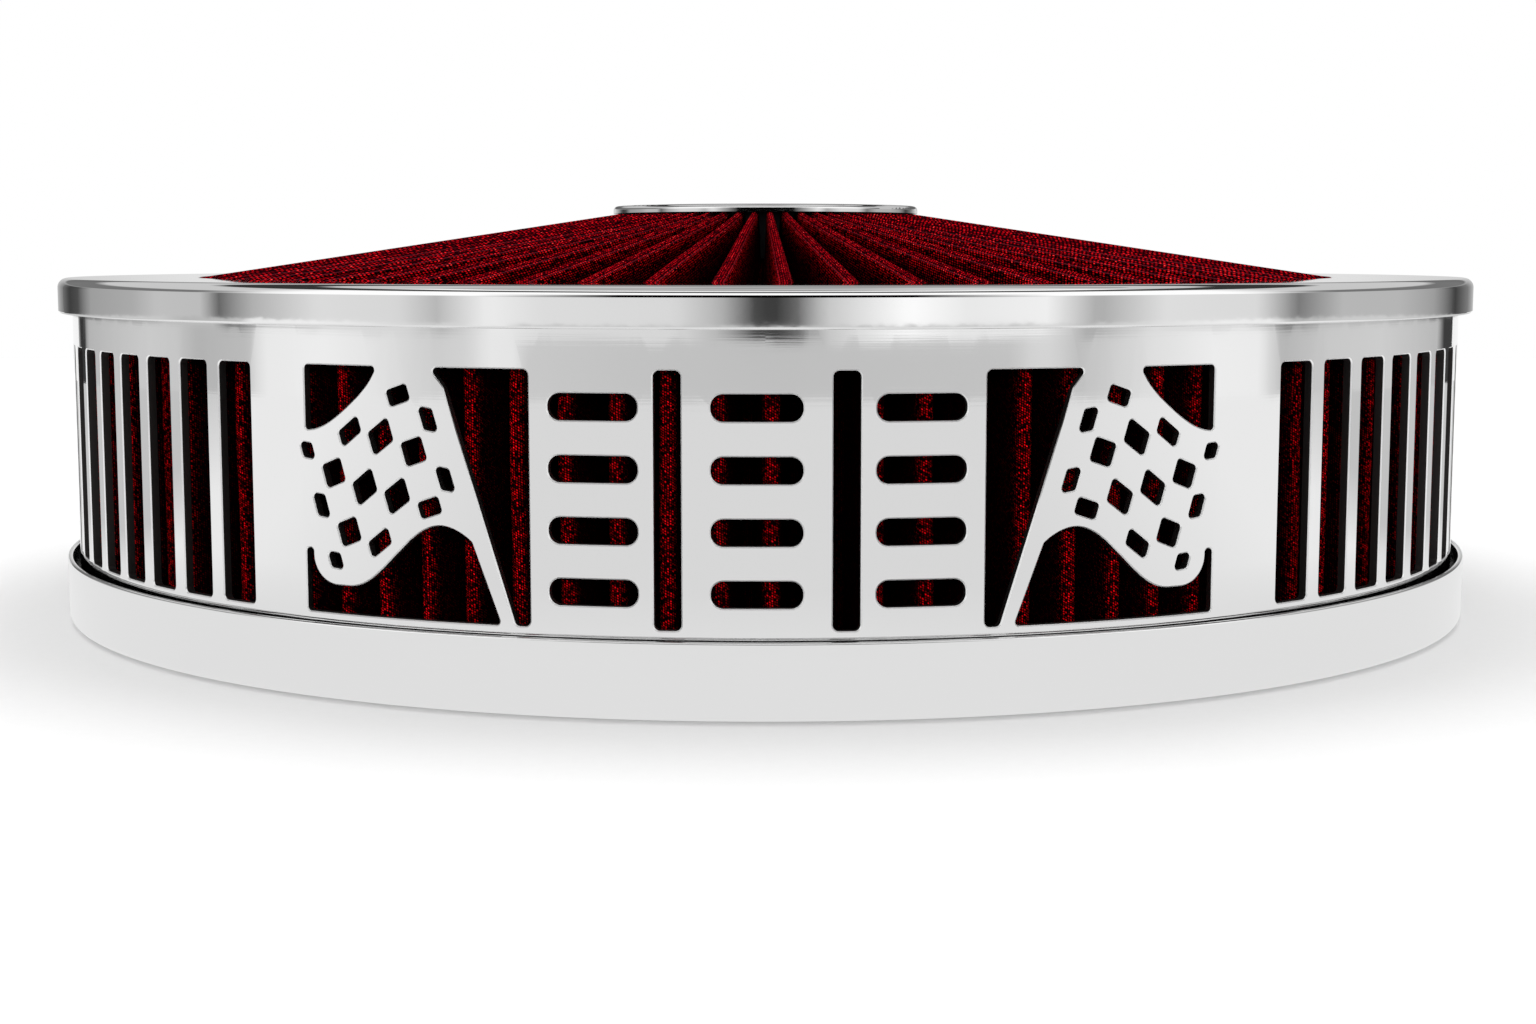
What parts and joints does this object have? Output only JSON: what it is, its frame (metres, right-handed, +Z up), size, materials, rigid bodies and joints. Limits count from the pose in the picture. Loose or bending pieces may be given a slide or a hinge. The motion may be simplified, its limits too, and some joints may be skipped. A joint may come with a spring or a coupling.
{
  "type": "carburetor air cleaner",
  "caption": "Low round air cleaner with a pierced polished surround, a pleated side element, a flow-through pleated lid, a drop base pan and a knurled hold-down nut.",
  "frame": {"origin": "centre of the bounding box in plan, on the underside of the base pan", "axes": "+Z up along the stud, towards the lid's hub; -Y towards the front panel with the two flags; +X to the right of someone who looks at that panel"},
  "size_m": [0.3556, 0.3556, 0.1002],
  "materials": {
    "pan_chrome": "polished chrome plate on pressed steel",
    "gasket_rubber": "matt black rubber",
    "surround_polish": "polished aluminium strip with bright pierced edges",
    "strap_aluminium": "mill finish",
    "rivet_aluminium": "satin domed rivets",
    "seal_urethane": "moulded black urethane",
    "side_media": "oiled red cotton gauze under fine woven mesh, pleated",
    "ring_chrome": "polished chrome plate on pressed steel",
    "lid_media": "oiled red cotton gauze under fine woven mesh, pleated",
    "hub_polish": "turned and polished",
    "clamp_steel": "zinc plated",
    "screw_steel": "stainless button heads",
    "stud_steel": "zinc plated thread",
    "washer_rubber": "matt black rubber",
    "washer_steel": "stainless",
    "nut_chrome": "chrome plated, knurled rim"
  },
  "bodies": {
    "housing": {"base_pan": "pan_chrome", "neck_gasket": "gasket_rubber", "filter_surround": "surround_polish", "seam_strap": "strap_aluminium", "seam_rivets": "rivet_aluminium", "side_bottom_seal": "seal_urethane", "side_top_seal": "seal_urethane", "side_pleats": "side_media", "lid_ring": "ring_chrome", "lid_pleats": "lid_media", "lid_rim_seal": "seal_urethane", "hub_cap": "hub_polish", "hub_bead": "seal_urethane", "hub_clamp_plate": "clamp_steel", "hub_screws": "screw_steel", "centre_stud": "stud_steel", "seal_washer": "washer_rubber"},
    "washer": {"captive_washer": "washer_steel"},
    "nut": {"hold_down_nut": "nut_chrome"}
  },
  "joints": [
    {"name": "nut_rise", "type": "slide", "parent": "housing", "child": "washer", "axis": [0, 0, 1], "range_m": [0, 0.00762]},
    {"name": "nut_turn", "type": "hinge", "parent": "washer", "child": "nut", "pos_m": [0, 0, 0.095], "axis": [0, 0, 1], "range_deg": [0, 2160]}
  ],
  "couplings": [
    {"joint": "nut_rise", "follows": "nut_turn", "m_per_rad": 0.00020213}
  ]
}
